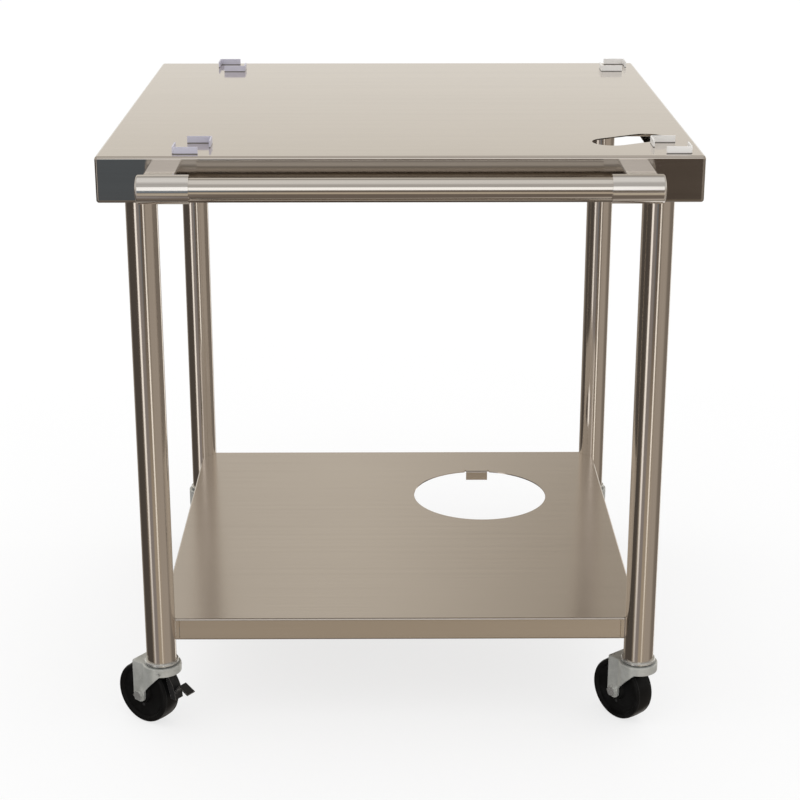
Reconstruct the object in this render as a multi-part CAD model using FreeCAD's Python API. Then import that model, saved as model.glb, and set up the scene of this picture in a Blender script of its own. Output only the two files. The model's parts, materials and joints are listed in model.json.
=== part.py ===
import FreeCAD, Part
import math
import os

Vector = FreeCAD.Vector
UP = Vector(0, 0, 1)
RIGHT = Vector(1, 0, 0)
BACK = Vector(0, 1, 0)

# Rolling stand for a bench-top pizza oven. All lengths in millimetres, +Z up, the handle
# side faces -Y. Unless a line says otherwise, places are measured from the deck's middle.

# Deck: a folded pan with down-turned flanges and inward lips
deck_width = 762.0
deck_depth = 762.0
deck_height = 815.0
deck_flange = 59.0
deck_lip = 25.0
deck_sheet = 1.5
deck_bend = 3.5

# Oval opening in the deck for the gas hose
slot_length = 108.0
slot_width = 51.0
slot_turn = 31.0
slot_from_right = 83.0
slot_from_front = 108.0

# Hat channels under the deck
channel_width = 60.0
channel_height = 25.0
channel_brim = 20.0
channel_sheet = 1.5
channel_offset = 85.0
channel_end_gap = 4.0
channel_bend = 2.5

# Legs
leg_diameter = 41.3
leg_wall = 1.5
leg_inset_x = 50.0
leg_inset_y = 50.0

# Sockets that hold the legs under the deck
socket_plate_diameter = 72.0
socket_plate = 3.0
socket_wall = 3.2
socket_length = 38.0
socket_fillet = 4.0
socket_clearance = 0.15
socket_screw_diameter = 8.0
socket_screw_drop = 24.0
socket_screw_stand_out = 4.0
socket_screw_head = 5.0
socket_screw_flats = 10.0

# Shelf: a shallower pan scribed round the legs
shelf_height = 160.0
shelf_flange = 32.0
shelf_lip = 12.0
shelf_sheet = 1.5
shelf_bend = 2.5
shelf_leg_gap = 0.2
seam_from_leg = 5.5
seam_width = 0.8

# Round opening in the shelf for the gas cylinder, with a bent-down tab behind it
tank_hole_diameter = 211.0
tank_hole_right = 131.0
tank_hole_back = 132.0
tab_width = 35.0
tab_drop = 15.5
tab_root = 6.0
tab_nick = 2.5

# Angle clips that locate the feet of the oven
clip_length = 32.5
clip_height = 9.0
clip_sheet = 2.0
clip_bend = 3.5

# Places of the clips, from the nearest side, front or rear edge of the deck
feet_left_outer = 95.0
feet_left_inner = 140.0
feet_right_inner = 59.0
feet_right_outer = 15.0
feet_edge_outer = 15.0
feet_edge_inner = 89.0

# Push handle
bar_diameter = 28.0
bar_wall = 1.5
bar_insert = 46.0
bar_clearance = 0.1
handle_drop = 29.5
handle_stand_off = 54.0
sleeve_diameter = 36.0
sleeve_length = 67.0
sleeve_dome = 3.0
sleeve_rim = 2.5
sleeve_end_from_side = 56.0
post_width = 40.0
post_height = 31.0
post_from_side = 85.0
post_round = 3.0
post_step = 0.3
handle_bolt_diameter = 8.0
post_web = 5.0
handle_bolt_flats = 13.0
handle_bolt_head = 5.3
grub_diameter = 6.0
grub_length = 3.0

# Fasteners sit in holes this much larger in radius
screw_clearance = 0.1

# Cutting shapes reach this far past the faces that they cut
cut_over = 1.0

# Caster wheel
wheel_diameter = 88.9
wheel_width = 30.0
wheel_hub_diameter = 27.0
wheel_hub_length = 33.4
wheel_web = 24.0
wheel_rim = 9.0
wheel_shoulder = 4.0
wheel_crown = 0.8
wheel_draft = 2.0
trail = 27.0

# Axle, bushing and their running clearances
axle_diameter = 8.0
axle_flats = 12.7
axle_head = 5.0
axle_nut = 6.5
axle_collar = 2.2
axle_collar_diameter = 11.4
axle_end = 1.5
bushing_diameter = 13.0
running_clearance = 0.06
hub_side_gap = 0.5

# Fork
fork_sheet = 2.5
fork_crown_diameter = 54.0
fork_leg_width = 21.0
fork_skirt = 12.0
fork_arch = 28.0
fork_bend = 2.0

# Swivel bearing between the fork and the stem's race plate
race_diameter = 47.2
race_plate = 3.5
race_gap = 2.0
race_chamfer = 1.0
race_height = 97.5
ball_diameter = 5.0
ball_circle = 34.0
ball_count = 10
ball_clearance = 0.1
kingpin_diameter = 12.0
rivet_diameter = 18.0
rivet_head = 2.5
rivet_gap = 0.3

# Expanding stem inside each leg
stem_diameter = 14.0
expander_length = 42.0
expander_clearance = 0.15
stem_washer_diameter = 34.0
stem_washer = 2.0
stem_nut_flats = 21.0
stem_nut = 9.0
stem_end = 3.0

# Wheel brake
brake_gap = 2.8
brake_channel_depth = 9.7
brake_channel_width = 15.0
brake_sheet = 2.0
brake_low_angle = 3.0
brake_touch_angle = 16.0
brake_pivot_angle = 46.4
brake_pivot_reach = 15.7
brake_eye_diameter = 9.0
brake_pin_diameter = 4.0
pedal_length = 18.0
pedal_slope = 28.0
pedal_out = 63.5
pedal_up = 25.2
pedal_root_angle = 13.0

# The way each wheel trails, in degrees from +X towards +Y
caster_heading = {
    "front_left": 144.0,
    "front_right": 129.0,
    "rear_left": -80.0,
    "rear_right": -97.0,
}
braked_casters = ("front_left", "rear_right")

# Values worked out from those above
leg_radius = leg_diameter / 2
leg_x = deck_width / 2 - leg_inset_x
leg_y = deck_depth / 2 - leg_inset_y
deck_underside = deck_height - deck_sheet
leg_bottom = race_height + race_plate
leg_top = deck_underside - socket_plate
wheel_radius = wheel_diameter / 2
axle_height = wheel_radius
crown_top = race_height - race_gap
crown_underside = crown_top - fork_sheet
fork_inner = wheel_hub_length / 2 + hub_side_gap
fork_outer = fork_inner + fork_sheet
fork_end = trail + fork_leg_width / 2
handle_height = deck_height - handle_drop
handle_y = -deck_depth / 2 - handle_stand_off
sleeve_end = deck_width / 2 - sleeve_end_from_side
sleeve_start = sleeve_end - sleeve_length
post_x = deck_width / 2 - post_from_side
handle_bolt_reach = handle_stand_off - bar_diameter / 2 - bar_clearance - post_web
brake_inner = wheel_radius + brake_gap
brake_outer = brake_inner + brake_channel_depth
brake_pivot_radius = wheel_radius + brake_pivot_reach

legs = {
    "front_left": (-leg_x, -leg_y),
    "front_right": (leg_x, -leg_y),
    "rear_left": (-leg_x, leg_y),
    "rear_right": (leg_x, leg_y),
}


def wheel_overhang(heading):
    """How far a caster's wheel reaches to the left of its swivel axis."""
    turn = math.radians(heading)
    along = -(trail + wheel_radius) * math.cos(turn)
    across = wheel_width / 2 * abs(math.sin(turn))
    return along + across


# The origin is on the floor in the middle of the stand's footprint: the front left wheel
# reaches past the deck on the left and the handle reaches past it at the front.
left_reach = leg_x + wheel_overhang(caster_heading["front_left"])
front_reach = deck_depth / 2 + handle_stand_off + sleeve_diameter / 2
to_origin = Vector((left_reach - deck_width / 2) / 2, (front_reach - deck_depth / 2) / 2, 0)


# Small helpers
def box(x0, x1, y0, y1, z0, z1):
    return Part.makeBox(x1 - x0, y1 - y0, z1 - z0, Vector(x0, y0, z0))


def rod(radius, start, direction, length):
    return Part.makeCylinder(radius, length, start, direction)


def tube(outer, inner, start, direction, length):
    return rod(outer, start, direction, length).cut(rod(inner, start, direction, length))


def extrude(edges, sweep):
    """A prism from a closed chain of edges, swept along a vector."""
    face = Part.Face(Part.Wire(Part.__sortEdges__(edges)))
    return face.extrude(sweep)


def polygon(points):
    closed = points + points[:1]
    return [Part.makeLine(a, b) for a, b in zip(closed, closed[1:])]


def turned(points, axis):
    """A solid of revolution from a profile of straight lines."""
    face = Part.Face(Part.Wire(polygon(points)))
    return face.revolve(Vector(0, 0, 0), axis, 360)


def hexagon(flats, start, direction, height):
    """A hexagonal prism, measured across its flats."""
    corner = flats / math.sqrt(3)
    points = []
    for step in range(6):
        turn = math.radians(60 * step)
        points.append(Vector(corner * math.cos(turn), corner * math.sin(turn), 0))
    prism = extrude(polygon(points), UP * height)
    prism.Placement = FreeCAD.Placement(start, FreeCAD.Rotation(UP, direction))
    return prism


def arc(start, middle, end):
    return Part.Arc(start, middle, end).toShape()


def rounded(shape, radius, wanted):
    """Fillet every edge whose middle point and shape pass the test."""
    chosen = [edge for edge in shape.Edges if wanted(edge)]
    return shape.makeFillet(radius, chosen)


def middle(edge):
    return edge.valueAt((edge.FirstParameter + edge.LastParameter) / 2)


def near(value, target):
    return abs(value - target) < 0.01


def save(name, solids):
    """Write one node: a single solid, or identical pieces as a group of solids."""
    group = [solid.copy() for solid in solids]
    for solid in group:
        solid.translate(to_origin)
    shape = group[0] if len(group) == 1 else Part.makeCompound(group)
    shape.exportStep("parts/" + name + ".step")
    volume = sum(solid.Volume for solid in group)
    whole = all(solid.isValid() for solid in group)
    print(name, len(group), "solid(s)", round(volume / 1000, 2), "cm3", "valid" if whole else "NOT VALID")


# Deck, channels and shelf
def pan(half_x, half_y, top, flange, lip, sheet, bend):
    """A folded tray turned upside down: top sheet, four flanges and an inward lip."""
    outer = box(-half_x, half_x, -half_y, half_y, top - flange, top)
    outer = outer.makeFillet(bend, outer.Edges)
    inner = box(
        -half_x + sheet, half_x - sheet, -half_y + sheet, half_y - sheet, top - flange + sheet, top - sheet
    )
    inner = inner.makeFillet(bend - sheet, inner.Edges)
    low = top - flange
    mouth = box(-half_x + lip, half_x - lip, -half_y + lip, half_y - lip, low - cut_over, low + 2 * sheet)
    return outer.cut(inner).cut(mouth)


def hose_slot():
    """The oval cutter: two round ends and the straight part between them."""
    radius = slot_width / 2
    half = slot_length / 2 - radius
    low = deck_height - 3 * deck_sheet
    height = 6 * deck_sheet
    cutter = box(-half, half, -radius, radius, low, low + height)
    for end in (-half, half):
        cutter = cutter.fuse(rod(radius, Vector(end, 0, low), UP, height))
    cutter = cutter.removeSplitter()
    cutter.rotate(Vector(0, 0, 0), UP, slot_turn)
    cutter.translate(Vector(deck_width / 2 - slot_from_right, slot_from_front - deck_depth / 2, 0))
    return cutter


def deck_panel():
    shape = pan(deck_width / 2, deck_depth / 2, deck_height, deck_flange, deck_lip, deck_sheet, deck_bend)
    shape = shape.cut(hose_slot())
    for side in (-1, 1):
        hole = handle_bolt_diameter / 2 + screw_clearance
        start = Vector(side * post_x, -deck_depth / 2 - deck_sheet, handle_height)
        shape = shape.cut(rod(hole, start, BACK, 3 * deck_sheet))
    return shape


def deck_channel(place):
    """A hat section whose brims lie against the underside of the deck."""
    half = channel_width / 2
    brim = half + channel_brim
    top = deck_underside
    low = top - channel_height
    sheet = channel_sheet
    outline = [
        (-brim, top), (-half + sheet, top), (-half + sheet, low + sheet), (half - sheet, low + sheet),
        (half - sheet, top), (brim, top), (brim, top - sheet), (half, top - sheet),
        (half, low), (-half, low), (-half, top - sheet), (-brim, top - sheet),
    ]
    reach = deck_width / 2 - deck_sheet - channel_end_gap
    points = [Vector(-reach, place + y, z) for y, z in outline]
    shape = extrude(polygon(points), RIGHT * 2 * reach)

    def lower_bend(edge):
        along = near(edge.Length, 2 * reach)
        point = middle(edge)
        return along and near(point.z, low) and near(abs(point.y - place), half)

    return rounded(shape, channel_bend, lower_bend)


def shelf_tab():
    """A strip bent down behind the cylinder opening, its front face touching the circle."""
    front = tank_hole_back + tank_hole_diameter / 2
    top = shelf_height
    sheet = shelf_sheet
    outline = [
        (front + tab_root, top), (front, top), (front, top - tab_drop), (front + sheet, top - tab_drop),
        (front + sheet, top - sheet), (front + tab_root, top - sheet),
    ]
    points = [Vector(tank_hole_right - tab_width / 2, y, z) for y, z in outline]
    shape = extrude(polygon(points), RIGHT * tab_width)

    def bend(edge):
        point = middle(edge)
        return near(point.y, front) and near(point.z, top)

    return rounded(shape, shelf_bend, bend)


def seam_slit(x, y, half_x, half_y):
    """A narrow slit through a shelf flange, beside the part that meets the leg."""
    low = shelf_height - shelf_flange - cut_over
    return box(x - half_x, x + half_x, y - half_y, y + half_y, low, shelf_height - shelf_bend)


def shelf_panel():
    shape = pan(leg_x, leg_y, shelf_height, shelf_flange, shelf_lip, shelf_sheet, shelf_bend)
    low = shelf_height - shelf_flange
    for x, y in legs.values():
        notch = leg_radius + shelf_leg_gap
        shape = shape.cut(rod(notch, Vector(x, y, low - shelf_sheet), UP, shelf_flange + 2 * shelf_sheet))
    hole = Vector(tank_hole_right, tank_hole_back, shelf_height - 2 * shelf_sheet)
    shape = shape.cut(rod(tank_hole_diameter / 2, hole, UP, 3 * shelf_sheet))
    half = tab_width / 2 + tab_nick
    rim = tank_hole_back + tank_hole_diameter / 2
    relief = box(
        tank_hole_right - half, tank_hole_right + half, rim - 3 * tab_nick, rim + tab_root,
        shelf_height - 2 * shelf_sheet, shelf_height + shelf_sheet,
    )
    shape = shape.cut(relief).fuse(shelf_tab())
    end_x = leg_x - leg_radius - seam_from_leg
    end_y = leg_y - leg_radius - seam_from_leg
    for side in (-1, 1):
        for end in (-1, 1):
            shape = shape.cut(seam_slit(end * end_x, side * leg_y, seam_width / 2, shelf_sheet))
            shape = shape.cut(seam_slit(side * leg_x, end * end_y, shelf_sheet, seam_width / 2))
    return shape.removeSplitter()


# Legs and their sockets
def leg(x, y):
    inner = leg_radius - leg_wall
    return tube(leg_radius, inner, Vector(x, y, leg_bottom), UP, leg_top - leg_bottom)


def leg_socket(x, y):
    """A turned cup: round plate against the deck and a sleeve over the leg's top end."""
    plate = socket_plate_diameter / 2
    bore = leg_radius + socket_clearance
    sleeve = bore + socket_wall
    top = deck_underside
    low = top - socket_length
    profile = [
        (0, top), (plate, top), (plate, leg_top), (sleeve + socket_fillet, leg_top),
        (sleeve, leg_top - socket_fillet), (sleeve, low), (bore, low), (bore, leg_top), (0, leg_top),
    ]
    shape = turned([Vector(r, 0, z) for r, z in profile], UP)
    shape.translate(Vector(x, y, 0))
    inward = Vector(-math.copysign(1, x), 0, 0)
    hole = socket_screw_diameter / 2 + screw_clearance
    start = Vector(x, y, top - socket_screw_drop) + inward * leg_radius
    return shape.cut(rod(hole, start, inward, 3 * socket_wall))


def socket_screw(x, y):
    """A hexagon-headed set screw that bears on the leg through the sleeve."""
    inward = Vector(-math.copysign(1, x), 0, 0)
    start = Vector(x, y, deck_underside - socket_screw_drop) + inward * (leg_radius + screw_clearance)
    shank = socket_wall + socket_clearance + socket_screw_stand_out
    shape = rod(socket_screw_diameter / 2, start, inward, shank)
    return shape.fuse(hexagon(socket_screw_flats, start + inward * shank, inward, socket_screw_head))


# Foot clips
def clip(x, y, right, back):
    """An angle bent from strip: its outer corner at x, y and its legs towards right and back."""
    length = clip_length
    sheet = clip_sheet
    outline = [(0, 0), (length, 0), (length, sheet), (sheet, sheet), (sheet, length), (0, length)]
    points = [Vector(x + right * a, y + back * b, deck_height) for a, b in outline]
    shape = extrude(polygon(points), UP * clip_height)

    def upright_at(dx, dy):
        def test(edge):
            point = middle(edge)
            at_corner = near(point.x, x + right * dx) and near(point.y, y + back * dy)
            return at_corner and near(edge.Length, clip_height)
        return test

    shape = rounded(shape, clip_bend - sheet, upright_at(sheet, sheet))
    return rounded(shape, clip_bend, upright_at(0, 0))


def foot_clips(outer_x, inner_x, outer_y, inner_y):
    """The two angles that box in one foot of the oven, open at the other two corners."""
    right = math.copysign(1, inner_x - outer_x)
    back = math.copysign(1, inner_y - outer_y)
    return [clip(outer_x, outer_y, right, back), clip(inner_x, inner_y, -right, -back)]


# Handle
def handle_bar():
    end = sleeve_start + bar_insert
    radius = bar_diameter / 2
    return tube(radius, radius - bar_wall, Vector(-end, handle_y, handle_height), RIGHT, 2 * end)


def handle_end(side):
    """A cast end: domed sleeve over the bar and a flat-topped post back to the flange."""
    radius = sleeve_diameter / 2
    dome_radius = (radius**2 + sleeve_dome**2) / (2 * sleeve_dome)
    half_way = sleeve_end - dome_radius + math.sqrt(dome_radius**2 - radius**2 / 4)
    edge = Vector(sleeve_end - sleeve_dome, radius, 0)
    tip = Vector(sleeve_end, 0, 0)
    profile = [
        Part.makeLine(Vector(sleeve_start, 0, 0), Vector(sleeve_start, radius, 0)),
        Part.makeLine(Vector(sleeve_start, radius, 0), edge),
        arc(edge, Vector(half_way, radius / 2, 0), tip),
        Part.makeLine(tip, Vector(sleeve_start, 0, 0)),
    ]
    shape = Part.Face(Part.Wire(profile)).revolve(Vector(0, 0, 0), RIGHT, 360)

    def rim(candidate):
        if candidate.Degenerated:
            return False
        return candidate.isClosed() and near(middle(candidate).x, sleeve_end - sleeve_dome)

    shape = rounded(shape, sleeve_rim, rim)
    if side < 0:
        shape = shape.mirror(Vector(0, 0, 0), RIGHT)
    shape.translate(Vector(0, handle_y, handle_height))
    top = handle_height + radius - post_step
    post = box(
        side * post_x - post_width / 2, side * post_x + post_width / 2, handle_y, -deck_depth / 2,
        top - post_height, top,
    )
    post = rounded(post, post_round, lambda e: near(e.Length, handle_stand_off))
    shape = shape.fuse(post)
    bore = bar_diameter / 2 + bar_clearance
    start = Vector(side * sleeve_start, handle_y, handle_height)
    shape = shape.cut(rod(bore, start, RIGHT * side, bar_insert))
    bolt = handle_bolt_diameter / 2 + screw_clearance
    face = Vector(side * post_x, -deck_depth / 2, handle_height)
    shape = shape.cut(rod(bolt, face, -BACK, handle_bolt_reach))
    grub = grub_diameter / 2 + screw_clearance
    under = Vector(side * (sleeve_start + bar_insert / 2), handle_y, handle_height - bar_diameter / 2)
    return shape.cut(rod(grub, under, -UP, radius)).removeSplitter()


def handle_bolt(side):
    """A hexagon bolt from inside the flange into the post."""
    inside = Vector(side * post_x, deck_sheet - deck_depth / 2, handle_height)
    reach = handle_bolt_reach - screw_clearance + deck_sheet
    shape = rod(handle_bolt_diameter / 2, inside, -BACK, reach)
    return shape.fuse(hexagon(handle_bolt_flats, inside, BACK, handle_bolt_head))


def handle_grub(side):
    """A grub screw under the sleeve that grips the bar."""
    low = handle_height - bar_diameter / 2 - screw_clearance
    start = Vector(side * (sleeve_start + bar_insert / 2), handle_y, low)
    return rod(grub_diameter / 2, start, -UP, grub_length)


# Casters, made with the swivel axis on Z and the wheel trailing towards +X
def caster_place(name, shape):
    x, y = legs[name]
    shape.rotate(Vector(0, 0, 0), UP, caster_heading[name])
    shape.translate(Vector(x, y, 0))
    return shape


def at_axle(shape):
    shape.translate(Vector(trail, 0, axle_height))
    return shape


def wheel():
    """Moulded wheel: hub, dished web, thick rim with round shoulders and a crowned tread."""
    bore = bushing_diameter / 2 + running_clearance
    hub = wheel_hub_diameter / 2
    half_hub = wheel_hub_length / 2
    half_web = wheel_web / 2
    half = wheel_width / 2
    rim = wheel_radius - wheel_rim
    edge = wheel_radius - wheel_shoulder
    flat = half - wheel_shoulder * (1 - math.sqrt(0.5))
    side = [(bore, half_hub), (hub, half_hub), (hub + wheel_draft, half_web), (rim, half_web)]
    side = side + [(rim + wheel_draft, half), (edge, half)]
    shoulder_mid = (edge + wheel_shoulder * math.sqrt(0.5) - wheel_crown / 2, flat)
    tread = (wheel_radius - wheel_crown, half - wheel_shoulder)

    def point(pair, sign):
        return Vector(pair[0], sign * pair[1], 0)

    edges = [Part.makeLine(point(side[0], -1), point(side[0], 1))]
    for sign in (-1, 1):
        for a, b in zip(side, side[1:]):
            edges.append(Part.makeLine(point(a, sign), point(b, sign)))
        edges.append(arc(point(side[-1], sign), point(shoulder_mid, sign), point(tread, sign)))
    edges.append(arc(point(tread, -1), Vector(wheel_radius, 0, 0), point(tread, 1)))
    face = Part.Face(Part.Wire(Part.__sortEdges__(edges)))
    return at_axle(face.revolve(Vector(0, 0, 0), BACK, 360))


def bushing():
    inner = axle_diameter / 2 + screw_clearance
    return at_axle(tube(bushing_diameter / 2, inner, Vector(0, -fork_inner, 0), BACK, 2 * fork_inner))


def axle_bolt():
    length = 2 * fork_outer + axle_nut + axle_end
    shape = rod(axle_diameter / 2, Vector(0, fork_outer, 0), -BACK, length)
    return at_axle(shape.fuse(hexagon(axle_flats, Vector(0, fork_outer, 0), BACK, axle_head)))


def axle_lock_nut():
    """Hexagon nut with a round locking collar."""
    start = Vector(0, -fork_outer, 0)
    shape = hexagon(axle_flats, start, -BACK, axle_nut - axle_collar)
    top = start - BACK * (axle_nut - axle_collar)
    shape = shape.fuse(rod(axle_collar_diameter / 2, top, -BACK, axle_collar))
    bore = axle_diameter / 2 + screw_clearance
    return at_axle(shape.cut(rod(bore, start, -BACK, axle_nut)))


def fork_outline(crown, half, end, low, high):
    """Plan of the fork carried upwards: a round crown joined to a straight-sided leg part."""
    shape = rod(crown, Vector(0, 0, low), UP, high - low)
    return shape.fuse(box(0, end, -half, half, low, high)).removeSplitter()


def fork_side():
    """Side outline carried across: arched front edge, straight back edge, round ends at the axle."""
    reach = fork_crown_diameter
    boss = fork_leg_width / 2
    front = trail - boss
    skirt = crown_top - fork_skirt
    arch_mid = math.sqrt(0.5) * fork_arch

    def point(x, z):
        return Vector(x, -reach, z)

    edges = [
        Part.makeLine(point(-reach, skirt), point(-reach, crown_top + cut_over)),
        Part.makeLine(point(-reach, crown_top + cut_over), point(fork_end, crown_top + cut_over)),
        Part.makeLine(point(fork_end, crown_top + cut_over), point(fork_end, axle_height)),
        arc(point(fork_end, axle_height), point(trail, axle_height - boss), point(front, axle_height)),
        Part.makeLine(point(front, axle_height), point(front, skirt - fork_arch)),
        arc(
            point(front, skirt - fork_arch),
            point(front - fork_arch + arch_mid, skirt - fork_arch + arch_mid),
            point(front - fork_arch, skirt),
        ),
        Part.makeLine(point(front - fork_arch, skirt), point(-reach, skirt)),
    ]
    return extrude(edges, BACK * 2 * reach)


def ball_groove():
    height = (crown_top + race_height) / 2
    return Part.makeTorus(ball_circle / 2, ball_diameter / 2 + ball_clearance, Vector(0, 0, height), UP)


def fork(braked):
    """Pressed-steel fork: dished crown, flared skirt and two legs down to the axle."""
    crown = fork_crown_diameter / 2
    low = axle_height - fork_leg_width
    shape = fork_outline(crown, fork_outer, fork_end, low, crown_top)

    def top_rim(edge):
        point = middle(edge)
        return near(point.z, crown_top) and not near(point.x, fork_end)

    shape = rounded(shape, fork_bend, top_rim)
    hollow = fork_outline(crown - fork_sheet, fork_inner, 2 * fork_end, low - cut_over, crown_underside)
    shape = shape.cut(hollow).common(fork_side())
    pin = kingpin_diameter / 2 + running_clearance
    shape = shape.cut(rod(pin, Vector(0, 0, crown_underside - cut_over), UP, 2 * fork_sheet))
    shape = shape.cut(ball_groove())
    hole = axle_diameter / 2 + screw_clearance
    shape = shape.cut(rod(hole, Vector(trail, -crown, axle_height), BACK, 2 * crown))
    if braked:
        spot = brake_pivot() - BACK * crown
        shape = shape.cut(rod(brake_pin_diameter / 2 + screw_clearance, spot, BACK, 2 * crown))
    return shape


def stem():
    """Turned stem: rivet head, kingpin, race plate under the leg and the rod inside the leg."""
    pin = kingpin_diameter / 2
    head = rivet_diameter / 2
    race = race_diameter / 2
    rod_radius = stem_diameter / 2
    head_top = crown_underside - rivet_gap
    rod_top = leg_bottom + expander_length + stem_washer + stem_nut + stem_end
    profile = [
        (0, head_top - rivet_head), (head, head_top - rivet_head), (head, head_top), (pin, head_top),
        (pin, race_height), (race, race_height), (race, leg_bottom - race_chamfer),
        (race - race_chamfer, leg_bottom), (rod_radius, leg_bottom), (rod_radius, rod_top), (0, rod_top),
    ]
    return turned([Vector(r, 0, z) for r, z in profile], UP).cut(ball_groove())


def expander():
    """Rubber sleeve that the stem nut squeezes against the inside of the leg."""
    outer = leg_radius - leg_wall - expander_clearance
    inner = stem_diameter / 2 + screw_clearance
    return tube(outer, inner, Vector(0, 0, leg_bottom), UP, expander_length)


def stem_nut_and_washer():
    low = leg_bottom + expander_length
    bore = stem_diameter / 2 + screw_clearance
    shape = rod(stem_washer_diameter / 2, Vector(0, 0, low), UP, stem_washer)
    shape = shape.fuse(hexagon(stem_nut_flats, Vector(0, 0, low + stem_washer), UP, stem_nut))
    return shape.cut(rod(bore, Vector(0, 0, low), UP, stem_washer + stem_nut))


def balls(name):
    height = (crown_top + race_height) / 2
    group = []
    for step in range(ball_count):
        turn = 2 * math.pi * step / ball_count
        spot = Vector(ball_circle / 2 * math.cos(turn), ball_circle / 2 * math.sin(turn), height)
        group.append(caster_place(name, Part.makeSphere(ball_diameter / 2, spot)))
    return group


# Brake lever on the leading side of the wheel
def wheel_polar(radius, angle):
    """A point beside the wheel: the angle is measured up from the leading side of the axle."""
    turn = math.radians(angle)
    return Vector(trail - radius * math.cos(turn), 0, axle_height + radius * math.sin(turn))


def brake_pivot():
    return wheel_polar(brake_pivot_radius, brake_pivot_angle)


def brake_block(inner, outer, half_width):
    """An arched back over a straight edge, which faces the tread and is nearest to it at the touch angle."""

    def edge_point(angle):
        return wheel_polar(inner / math.cos(math.radians(angle - brake_touch_angle)), angle) + across

    across = -BACK * half_width
    middle_angle = (brake_low_angle + brake_pivot_angle) / 2
    low_in = edge_point(brake_low_angle)
    high_in = edge_point(brake_pivot_angle)
    low_out = wheel_polar(outer, brake_low_angle) + across
    high_out = wheel_polar(outer, brake_pivot_angle) + across
    edges = [
        Part.makeLine(low_in, low_out),
        arc(low_out, wheel_polar(outer, middle_angle) + across, high_out),
        Part.makeLine(high_out, high_in),
        Part.makeLine(high_in, low_in),
    ]
    return extrude(edges, BACK * 2 * half_width)


def brake_strip(start, end):
    """A plate of the brake's sheet between two points of the side view."""
    along = (end - start).normalize()
    square = Vector(-along.z, 0, along.x) * (brake_sheet / 2)
    half = BACK * (brake_channel_width / 2)
    points = [start + square, end + square, end - square, start - square]
    return extrude(polygon([point - half for point in points]), half * 2)


def brake_pedal():
    """The foot tab and the strip that carries it, bent from one plate."""
    slope = math.radians(pedal_slope)
    bend = Vector(trail - pedal_out, 0, axle_height + pedal_up)
    toe = bend + Vector(-math.cos(slope), 0, -math.sin(slope)) * pedal_length
    root = wheel_polar(brake_outer - brake_sheet / 2, pedal_root_angle)
    half = BACK * (brake_channel_width / 2)
    knee = rod(brake_sheet / 2, bend - half, BACK, brake_channel_width)
    return brake_strip(bend, toe).fuse(brake_strip(bend, root)).fuse(knee)


def brake_lever():
    """Pressed channel with a pivot eye at the top and a foot tab at its lower end."""
    half = brake_channel_width / 2
    shape = brake_block(brake_inner, brake_outer, half)
    shape = shape.cut(brake_block(brake_inner - cut_over, brake_outer - brake_sheet, half - brake_sheet))
    pivot = brake_pivot()
    eye = rod(brake_eye_diameter / 2, pivot - BACK * half, BACK, 2 * half)
    shape = shape.fuse(eye).fuse(brake_pedal())
    pin = brake_pin_diameter / 2 + running_clearance
    return shape.cut(rod(pin, pivot - BACK * 2 * half, BACK, 4 * half)).removeSplitter()


def brake_pin():
    crown = fork_crown_diameter / 2
    reach = math.sqrt(crown**2 - brake_pivot().x ** 2)
    return rod(brake_pin_diameter / 2, brake_pivot() - BACK * reach, BACK, 2 * reach)


def main():
    os.makedirs("parts", exist_ok=True)
    save("deck_panel", [deck_panel()])
    save("deck_channel_front", [deck_channel(-channel_offset)])
    save("deck_channel_rear", [deck_channel(channel_offset)])
    save("shelf_panel", [shelf_panel()])
    save("leg_sockets", [leg_socket(x, y) for x, y in legs.values()])
    save("socket_screws", [socket_screw(x, y) for x, y in legs.values()])
    for name, (x, y) in legs.items():
        save("leg_" + name, [leg(x, y)])
    edge = deck_depth / 2
    side = deck_width / 2
    left = (feet_left_outer - side, feet_left_inner - side)
    right = (side - feet_right_outer, side - feet_right_inner)
    for end, back in (("front", -1), ("rear", 1)):
        outer = back * (edge - feet_edge_outer)
        inner = back * (edge - feet_edge_inner)
        save("foot_clips_" + end + "_left", foot_clips(*left, outer, inner))
        save("foot_clips_" + end + "_right", foot_clips(*right, outer, inner))
    save("handle_bar", [handle_bar()])
    save("handle_end_left", [handle_end(-1)])
    save("handle_end_right", [handle_end(1)])
    save("handle_bolts", [handle_bolt(-1), handle_bolt(1)])
    save("handle_grub_screws", [handle_grub(-1), handle_grub(1)])
    save("stem_nuts", [caster_place(name, stem_nut_and_washer()) for name in legs])
    for name in legs:
        braked = name in braked_casters
        pieces = {
            "stem": stem(),
            "expander": expander(),
            "fork": fork(braked),
            "wheel": wheel(),
            "bushing": bushing(),
            "axle_bolt": axle_bolt(),
            "axle_nut": axle_lock_nut(),
        }
        if braked:
            pieces["brake_lever"] = brake_lever()
            pieces["brake_pin"] = brake_pin()
        for piece, shape in pieces.items():
            save("caster_" + name + "_" + piece, [caster_place(name, shape)])
        save("caster_" + name + "_balls", balls(name))


main()
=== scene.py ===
# %% [markdown]
# # Dressing a stainless oven cart
# The cart is a folded steel top on four tube legs, with a shelf, a push handle and four swivel
# casters. The construction model already has every piece at its real size, so this lesson adds
# what the eye reads next: the brushed and polished steel, the zinc, the black wheels, the weld
# beads and moulding lines, and a studio whose reflections make metal look like metal.
# The model could be remade here by hand, but it is loaded as a fixed frame instead, because
# then every new piece can be measured from the part that carries it.

# %% Load the construction
import json
import math
from functools import reduce
from operator import mul

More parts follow.
